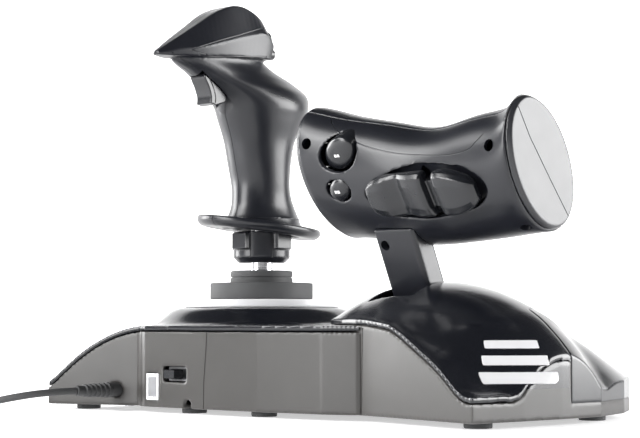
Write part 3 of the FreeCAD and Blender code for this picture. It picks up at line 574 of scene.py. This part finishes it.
def mark(label, node_body, material, corners, thick=0.12):
    """A thin printed mark: corner points in millimetres on a flat spot."""
    ring = [Vector(point) for point in corners]
    normal = (ring[1] - ring[0]).cross(ring[2] - ring[0]).normalized()
    piece = ring_mesh(label, [[tuple(p - normal * thick) for p in ring],
                              [tuple(p + normal * thick) for p in ring]])
    dressed(piece, material, node_body)


# ---------------------------------------------------------------- handle
STICK = (66.0, 4.0)
# each row: height, middle in y, half width in x, half depth in y
GRIP_SECTIONS = [
    (110.5, 3.0, 20.4, 24.4), (112.0, 3.0, 19.0, 23.0), (118.0, 3.2, 16.8, 20.6),
    (124.0, 4.2, 16.0, 18.9), (132.0, 5.2, 16.6, 18.0), (144.0, 6.2, 17.6, 19.8),
    (157.0, 6.2, 19.0, 22.9), (169.0, 5.0, 22.0, 28.6), (177.0, 4.8, 23.4, 32.3),
    (185.0, 9.4, 20.5, 38.4), (192.0, 20.8, 14.8, 41.0), (199.0, 36.0, 10.8, 39.4),
    (206.0, 38.5, 10.0, 29.0),
]
# each row: y, half width, half width of the top, then the heights of top, edge and underside
HEAD_SECTIONS = [
    (88.0, 2.6, 1.4, 201.6, 200.8, 199.4), (78.0, 7.5, 3.6, 208.4, 203.2, 199.4),
    (62.0, 12.0, 5.6, 219.0, 205.6, 200.4), (46.0, 14.0, 7.2, 229.2, 210.0, 202.0),
    (30.0, 14.4, 7.8, 233.6, 214.6, 203.0), (13.0, 13.2, 7.4, 228.4, 218.4, 204.0),
    (5.0, 11.4, 6.6, 216.6, 212.4, 204.4),
]
SEAM_HALF = 0.16
HAT_WELL_RADIUS = 7.1
BUTTON_WELL_RADIUS = 3.4
HAT = (66.0, 11.5, 217.2)
HEAD_BUTTONS = {"head_button_left": (58.2, 207.8), "head_button_right": (73.8, 207.8),
                "head_button_lower": (66.0, 207.2)}


def grip_form():
    """The part of the handle that the hand closes around."""
    rings = []
    for z, center_y, half_x, half_y in dense_rows(GRIP_SECTIONS, 6):
        rings.append([(STICK[0] + half_x * math.cos(a), center_y + half_y * math.sin(a), z)
                      for a in [2 * math.pi * i / 96 for i in range(96)]])
    return ring_mesh("grip_form", rings)


def head_form():
    """The faceted head of the handle."""
    rings = []
    for y, half, top, high, edge, low in dense_rows(HEAD_SECTIONS, 5):
        side = [(top, high), (half, edge), (0.9 * half, low)]
        ring = side + [(-x, z) for x, z in reversed(side)]
        rings.append([(STICK[0] + x, y, z) for x, z in ring])
    return ring_mesh("head_form", rings)


def head_line(low, high):
    """Points along the head's upper left edge, between two depths."""
    rows = dense_rows(HEAD_SECTIONS, 5)
    return [(STICK[0] - row[2], row[0], row[3]) for row in rows if low <= row[0] <= high]


def mirrored(points):
    """The same points on the handle's other side."""
    return [(2 * STICK[0] - x, y, z) for x, y, z in points]


def make_handle():
    """Both handle shells: one form with its openings and lines, split at the middle seam."""
    handle = softened(joined("handle_form", [grip_form(), head_form()]), 0.62, 6)
    slot = block("slot", (STICK[0] - 6.9, 34.2, 166.0), (STICK[0] + 6.9, 58.8, 194.8))
    boolean(handle, slot)
    boolean(handle, along(HAT, (0, 1, 0), "hat_well", HAT_WELL_RADIUS, 5.0, 30.0, 48))
    for x, z in HEAD_BUTTONS.values():
        mouth = (x, 8.0, z)
        boolean(handle, along(mouth, (0, 1, 0), "button_well", BUTTON_WELL_RADIUS, 8.0, 10.0, 32))
    for points in HANDLE_GROOVES:
        groove(handle, points)
        groove(handle, mirrored(points))
    for label, lean_side in (("handle_shell_left", -1), ("handle_shell_right", 1)):
        work = bmesh.new()
        work.from_mesh(handle.data)
        plane = mm(STICK[0] + lean_side * SEAM_HALF, 0, 0)
        bmesh.ops.bisect_plane(work, geom=work.verts[:] + work.edges[:] + work.faces[:],
                               plane_co=plane, plane_no=(-lean_side, 0, 0), clear_outer=True)
        rim = [edge for edge in work.edges if edge.is_boundary]
        bmesh.ops.holes_fill(work, edges=rim)
        mesh = bpy.data.meshes.new(label + "_skin")
        work.to_mesh(mesh)
        work.free()
        piece = link_mesh(label + "_skin", mesh)
        dressed(piece, "shell", "handle", label)
    bpy.data.objects.remove(handle)


HANDLE_GROOVES = [
    head_line(14.0, 79.0),
    [(56.3, 70.1, 203.0), (53.4, 54.4, 209.1), (52.3, 35.7, 215.2), (55.0, 13.6, 222.2)],
    [(55.0, 13.6, 222.2), (54.2, 10.3, 207.5), (54.1, 11.8, 205.7)],
    [(54.1, 11.8, 205.7), (53.2, 34.8, 203.1), (55.4, 52.4, 201.3), (56.3, 70.1, 203.0)],
    [(60.5, 82.3, 201.5), (62.3, 72.9, 198.8), (60.4, 64.5, 195.0)],
    [(45.6, 18.8, 183.4), (43.8, 9.9, 181.1), (43.4, -1.4, 178.6)],
]


def make_trigger():
    """A finger blade: hollow along its front, with a fine line cut along each side a little behind
    the front.
    """
    front = curved([(53.4, 193.2), (56.0, 190.2), (52.8, 184.4), (51.0, 179.2), (51.2, 175.2)], 5)
    rear = [(47.0, 174.4), (39.6, 176.8), (37.0, 184.0), (39.2, 191.6)]
    outline = [tuple(point) for point in front] + rear
    rings = [[(STICK[0] + x, y, z) for y, z in outline] for x in (-6.1, 6.1)]
    trigger = softened(ring_mesh("trigger_skin", rings), 0.36, 6)
    for side in (-1, 1):
        line = [(STICK[0] + side * 6.4, y - 3.4, z) for y, z in front[2:-1]]
        groove(trigger, line, 0.4)
    dressed(trigger, "button", "trigger", "trigger")


# ---------------------------------------------------------------- turned pieces under the handle
def make_boot():
    """The rubber boot ring with its rounded shoulder, the plate under it and the cap inside it."""
    outer = [(28.6, 64.2), (30.1, 64.2), (30.1, 73.6), (28.6, 73.6)]
    ring = turned("boot_ring_skin", STICK, rounded_profile(outer, 1.3, 5), 128)
    dressed(ring, "boot_rubber", "base", "boot_ring")
    plate = eased("bezel_plate", 0.6, 4)
    line = [(40.4, 63.3), (41.2, 63.3), (41.2, 66.0), (40.4, 66.0)]
    boolean(plate, turned("plate_line", STICK, line))
    dressed(plate, "bright_plastic", "base", "bezel_plate")
    cap = eased("dust_cap", 0.55, 5)
    line = [(17.5, 76.6), (19.5, 76.6), (19.5, 77.3), (17.5, 77.3)]
    boolean(cap, turned("cap_line", STICK, line))
    dressed(cap, "boot_rubber", "stick", "dust_cap")


REST_SEAM = [(66.0, 27.0, 111.0), (66.0, 43.6, 111.6), (66.0, 44.6, 107.0), (66.0, 34.0, 104.0)]
COLLAR_RADIUS = 16.6
COLLAR_LINES = 8


def make_collar():
    """The lock collar with its upright lines, and the hand rest above it."""
    collar = eased("lock_collar", 0.5, 4)
    for i in range(COLLAR_LINES):
        turn = math.radians(22.5 + 45.0 * i)
        x = STICK[0] + COLLAR_RADIUS * math.cos(turn)
        y = STICK[1] + COLLAR_RADIUS * math.sin(turn)
        points = [mm(x, y, 88.0), mm(x, y, 104.5)]
        boolean(collar, tube_form("collar_line", points, 0.36, 10))
    dressed(collar, "shell", "stick", "lock_collar")
    rest = eased("hand_rest", 0.6, 4)
    groove(rest, REST_SEAM, 0.3)
    dressed(rest, "shell", "handle", "hand_rest")


# ---------------------------------------------------------------- throttle
FACE_LEAN = math.radians(33.0)
FACE_NORMAL = Vector((0, math.cos(FACE_LEAN), -math.sin(FACE_LEAN)))
FACE_UP = Vector((0, math.sin(FACE_LEAN), math.cos(FACE_LEAN)))
ROCKER = Vector((-100.3, 32.2, 121.8)) + FACE_NORMAL * 22.8 + FACE_UP * 7.0
BIG_BUTTON = Vector((-47.3, 59.6, 139.0))
SMALL_BUTTON = Vector((-43.5, 55.0, 120.5))
BUTTON_TURN = math.radians(35.0)


def face_point(origin, x, up, out):
    """A point on the finger side: across, up the face and out of it, in millimetres."""
    return tuple(origin + Vector((x, 0, 0)) + FACE_UP * up + FACE_NORMAL * out)


def oval_button(label, origin, half_long, half_short, levels):
    """A domed oval button: each level gives a share of the outline and a height."""
    rings = []
    for share, out in levels:
        ring = []
        for i in range(48):
            a = 2 * math.pi * i / 48
            x = share * half_long * math.cos(a)
            up = -share * half_short * math.sin(a)
            turned_x = x * math.cos(BUTTON_TURN) + up * math.sin(BUTTON_TURN)
            turned_up = -x * math.sin(BUTTON_TURN) + up * math.cos(BUTTON_TURN)
            ring.append(face_point(origin, turned_x, turned_up, out))
        rings.append(ring)
    piece = ring_mesh(label + "_skin", rings)
    dressed(piece, "button", label, label, sharp_over=50.0)


def make_finger_buttons():
    """The two domed buttons, each with a plain printed mark of two small squares."""
    dome = [(1.0, -8.0), (1.0, 0.3), (0.985, 0.9), (0.94, 1.5), (0.84, 2.1), (0.66, 2.7),
            (0.42, 3.1), (0.16, 3.3)]
    oval_button("finger_button_large", BIG_BUTTON, 11.9, 7.9, dome)
    oval_button("finger_button_small", SMALL_BUTTON, 8.1, 5.9, dome)
    buttons = {"finger_button_large": BIG_BUTTON, "finger_button_small": SMALL_BUTTON}
    for body, origin in buttons.items():
        for i, shift in enumerate((-0.95, 0.95)):
            corners = [face_point(origin, shift + x, up, 3.36)
                       for x, up in ((-0.75, -0.8), (0.75, -0.8), (0.75, 0.8), (-0.75, 0.8))]
            mark("%s_mark%d" % (body, i), body, "mark_white", corners)


def paddle(label, rows):
    """One half of the rocker: rows give across, half width and height out of the face."""
    rings = []
    for x, half, out in dense_rows(rows, 5):
        ring = []
        for up, share in ((-1.0, 0.0), (-1.0, 0.55), (-0.86, 0.88), (-0.5, 1.0), (0.5, 1.0),
                          (0.86, 0.88), (1.0, 0.55), (1.0, 0.0)):
            ring.append(face_point(ROCKER, x, up * half, -2.0 + share * (out + 2.0)))
        rings.append(ring)
    return ring_mesh(label, rings)


def make_rocker():
    """The rocker: two paddles on one base, with the gap between them."""
    long_half = paddle("long_half", [(36.2, 4.6, 1.2), (34.0, 7.6, 4.4), (29.0, 10.4, 5.4),
                                     (23.0, 11.6, 5.3), (18.4, 11.8, 3.2), (14.0, 12.0, 1.8),
                                     (9.0, 12.2, 3.6), (3.0, 12.4, 5.0), (-2.6, 12.4, 5.0),
                                     (-4.0, 11.8, 2.2)])
    short_half = paddle("short_half", [(-9.8, 11.6, 2.0), (-11.2, 12.2, 4.6), (-16.0, 12.4, 5.9),
                                       (-22.0, 11.4, 6.1), (-27.0, 9.6, 5.6), (-31.0, 7.4, 4.4),
                                       (-33.6, 4.6, 1.6)])
    corners = []
    for out in (-3.3, 0.6):
        corners.append([face_point(ROCKER, x, up, out)
                        for x, up in ((-29.6, -7.4), (29.6, -7.4), (29.6, 7.4), (-29.6, 7.4))])
    base = ring_mesh("rocker_base", corners)
    rocker = softened(joined("rocker_skin", [long_half, short_half, base]), 0.4, 5)
    dressed(rocker, "button", "rocker", "rocker")


def make_throttle():
    """The throttle lever's shells, ends, arm and slot shield, with their lines and screw wells."""
    front = eased("throttle_shell_front", 0.62, 5)
    for points in FRONT_GROOVES:
        groove(front, curved(points), 0.36)
    for place, way, radius, depth in FRONT_SCREWS:
        boolean(front, along(place, way, "screw_well", radius, depth))
    dressed(front, "shell", "throttle", "throttle_shell_front")
    rear = eased("throttle_shell_rear", 0.62, 5)
    dressed(rear, "shell", "throttle", "throttle_shell_rear")
    cap = eased("end_cap", 0.55, 7)
    for points in CAP_GROOVES:
        groove(cap, points, 0.3)
    # the end cap's lighter colour is a painted highlight; the real plastic is the shell's black
    dressed(cap, "end_plastic", "throttle", "end_cap")
    dressed(eased("thumb_panel", 0.55, 4), "shell", "throttle", "thumb_panel")
    arm = eased("throttle_arm", 0.6, 5)
    for place, way, radius, depth in ARM_SCREWS:
        boolean(arm, along(place, way, "arm_screw", radius, depth))
    dressed(arm, "shell", "throttle", "throttle_arm")
    dressed(eased("slot_shield", 0.5, 2), "cover", "throttle", "slot_shield")


FRONT_GROOVES = [
    [(-38.1, 57.9, 162.0), (-41.2, 60.2, 155.9), (-49.0, 61.1, 149.2), (-64.2, 60.8, 141.8),
     (-82.2, 58.9, 136.7), (-100.2, 57.7, 134.5), (-117.3, 57.6, 133.4), (-129.7, 58.0, 135.0),
     (-135.2, 58.2, 138.9), (-139.3, 58.1, 142.7)],
]
CAP_GROOVES = [[(-156.5, 52.0, 155.5), (-156.5, 42.3, 140.7), (-156.5, 25.9, 121.2),
                (-156.5, 10.6, 103.6)]]
# each screw well: its mouth, the way in, radius and depth
FRONT_SCREWS = [
    ((-27.1, 66.1, 144.6), (0, -1, 0.1), 3.0, 6.0), ((-143.7, 59.3, 136.4), (0, -1, 0), 3.0, 6.0),
    ((-147.7, 34.0, 97.6), (0.1, -0.4, 0.9), 3.0, 5.0),
]
ARM_SCREWS = [((-61.8, 40.7, 90.7), (0, -0.91, 0.42), 2.8, 5.0)]


# ---------------------------------------------------------------- base
# each row: CAD node, material, voxel size and rounds of smoothing
BASE_PIECES = [
    ("stick_base_tray", "wall", 0.85, 4), ("throttle_base_tray", "wall", 0.85, 4),
    ("stick_base_cover", "cover", 0.8, 5), ("throttle_base_cover", "cover", 0.8, 5),
    ("corner_panel", "cover", 0.6, 3), ("slope_bars", "bright_plastic", 0.4, 2),
    ("rubber_feet", "boot_rubber", 0.5, 3), ("pedal_socket", "bright_plastic", 0.3, 2),
    ("selector_body", "grey_part", 0.3, 2), ("usb_plug", "steel", 0.35, 2),
]
# each row: CAD node, its body, material, voxel size and rounds of smoothing
SMALL_PIECES = [
    ("selector_slider", "selector_slider", "button", 0.28, 2),
    ("hat_cap", "hat", "button", 0.3, 5),
    ("head_button_left", "head_button_left", "button", 0.28, 4),
    ("head_button_right", "head_button_right", "button", 0.28, 4),
    ("head_button_lower", "head_button_lower", "button", 0.28, 4),
    ("thumb_button_upper", "thumb_button_upper", "button", 0.3, 5),
    ("thumb_button_front", "thumb_button_front", "button", 0.3, 5),
    ("thumb_button_back", "thumb_button_back", "button", 0.3, 5),
    ("thumb_button_lower", "thumb_button_lower", "button", 0.3, 5),
    ("tension_wheel", "tension_wheel", "shell", 0.5, 3),
]


def make_base():
    """Everything fixed to the base that is a rounded copy of its CAD piece."""
    pieces = {}
    for node, material, voxel, rounds in BASE_PIECES:
        piece = eased(node, voxel, rounds)
        if node == "throttle_base_tray":
            upper = link_mesh("slope_side_skin", piece.data.copy())
            boolean(upper, block("side_room", *SLOPE_SIDE), "INTERSECT")
            boolean(piece, block("side_room", *SLOPE_SIDE))
            dressed(upper, "cover", "base")
        for points in BASE_GROOVES.get(node, []):
            groove(piece, points, 0.4)
        pieces[node] = dressed(piece, material, "base", node)
    for node, body, material, voxel, rounds in SMALL_PIECES:
        dressed(eased(node, voxel, rounds), material, body, node)
    return pieces


# what lies in here of the left tray's skin is as black as the cover above it
SLOPE_SIDE = ((-170.0, 15.6, 18.4), (-148.0, 95.0, 70.0))
BASE_GROOVES = {
    "stick_base_tray": [
        [(94.4, 72.3, 48.0), (94.1, 72.4, 18.0), (94.0, 72.5, 3.2)],
        [(37.0, 75.0, 48.0), (38.0, 75.0, 35.6), (39.5, 75.0, 19.2), (39.9, 75.0, 3.2)],
    ],
    "throttle_base_tray": [
        [(-65.7, 63.0, 47.7), (-65.1, 62.9, 21.2), (-64.7, 62.8, 3.4)],
    ],
}


def make_relief():
    """The rubber sleeve at the cable's exit: rings that shrink along it, then a plain end."""
    start = 68.2
    profile = [(0.0, 0.0), (4.0, 0.0), (4.0, 8.6)]
    for i in range(6):
        place = 9.4 + 3.2 * i
        size = 4.4 - 0.16 * i
        profile += [(size - 0.9, place), (size, place + 0.5), (size, place + 1.6),
                    (size - 0.9, place + 2.1)]
    profile += [(3.0, 30.0), (2.9, 32.8), (0.0, 32.8)]
    sleeve = turned("strain_relief_skin", (0.0, 0.0), profile, 48)
    sleeve.data.transform(Matrix.Rotation(math.radians(-90.0), 4, "X"))
    sleeve.data.transform(Matrix.Translation(mm(117.0, start, 12.0)))
    dressed(sleeve, "boot_rubber", "base", "strain_relief", sharp_over=30.0)
    return sleeve


# ---------------------------------------------------------------- making
make_camera()
make_materials()
finish_cad_nodes()
RELIEF = make_relief()
BASE = make_base()
make_cable()
make_floor()
make_studio()
make_handle()
make_trigger()
make_boot()
make_collar()
make_throttle()
make_finger_buttons()
make_rocker()
